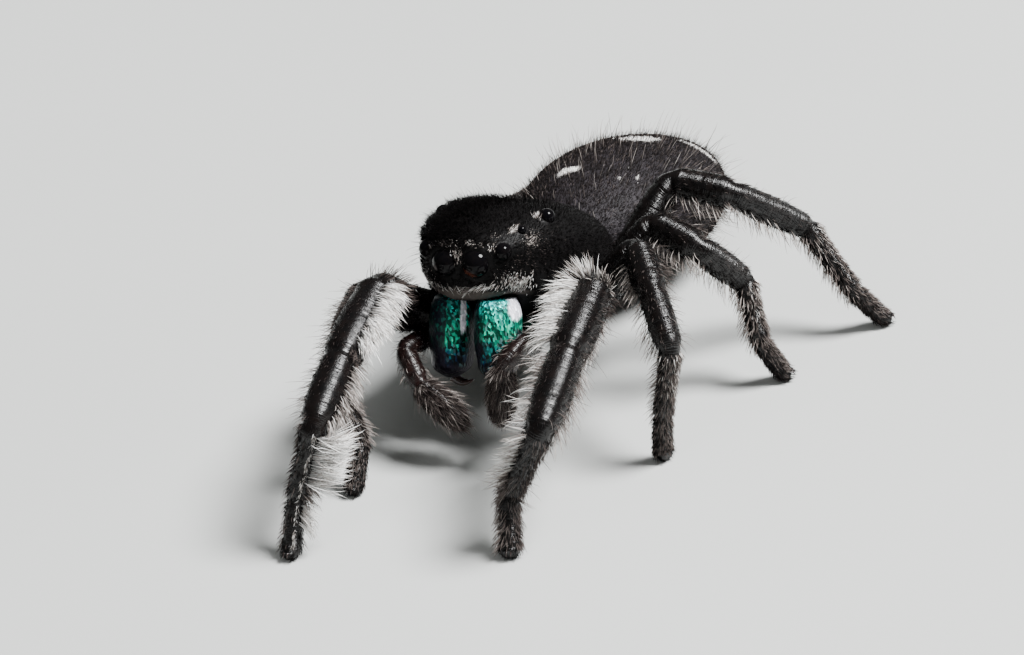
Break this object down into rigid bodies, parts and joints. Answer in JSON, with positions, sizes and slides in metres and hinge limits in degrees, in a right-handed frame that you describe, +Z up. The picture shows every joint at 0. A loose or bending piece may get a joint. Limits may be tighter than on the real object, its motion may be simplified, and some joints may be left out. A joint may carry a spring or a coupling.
{
  "type": "bold jumping spider model",
  "caption": "Life-size still model of a bold jumping spider, adult male, standing with its front legs reached out and its hairy coat.",
  "frame": {"origin": "on the floor under the middle of the animal's bounding box", "axes": "+Z up; the spider faces -Y and its left side is at +X"},
  "size_m": [0.011, 0.0178, 0.005],
  "materials": {
    "body_skin": "black cuticle under fine dark hair",
    "leg_skin": "glossy black cuticle with pale hair fringes",
    "eye": "polished black lens",
    "chelicera": "iridescent green and blue",
    "claw": "dark red-brown, polished"
  },
  "bodies": {
    "root": {"abdomen": "body_skin", "cephalothorax": "body_skin", "chelicera_left": "chelicera", "chelicera_right": "chelicera", "eye_front_middle_left": "eye", "eye_front_middle_right": "eye", "eye_front_side_left": "eye", "eye_front_side_right": "eye", "eye_middle_small_left": "eye", "eye_middle_small_right": "eye", "eye_rear_side_left": "eye", "eye_rear_side_right": "eye", "fang_left": "claw", "fang_right": "claw", "leg_left_1_femur": "leg_skin", "leg_left_1_foot": "leg_skin", "leg_left_1_tibia": "leg_skin", "leg_left_2_femur": "leg_skin", "leg_left_2_foot": "leg_skin", "leg_left_2_tibia": "leg_skin", "leg_left_3_femur": "leg_skin", "leg_left_3_foot": "leg_skin", "leg_left_3_tibia": "leg_skin", "leg_left_4_femur": "leg_skin", "leg_left_4_foot": "leg_skin", "leg_left_4_tibia": "leg_skin", "leg_right_1_femur": "leg_skin", "leg_right_1_foot": "leg_skin", "leg_right_1_tibia": "leg_skin", "leg_right_2_femur": "leg_skin", "leg_right_2_foot": "leg_skin", "leg_right_2_tibia": "leg_skin", "leg_right_3_femur": "leg_skin", "leg_right_3_foot": "leg_skin", "leg_right_3_tibia": "leg_skin", "leg_right_4_femur": "leg_skin", "leg_right_4_foot": "leg_skin", "leg_right_4_tibia": "leg_skin", "palp_left_arm": "leg_skin", "palp_left_tip": "leg_skin", "palp_right_arm": "leg_skin", "palp_right_tip": "leg_skin", "pedicel": "body_skin", "spinneret_left": "body_skin", "spinneret_right": "body_skin"}
  },
  "joints": []
}
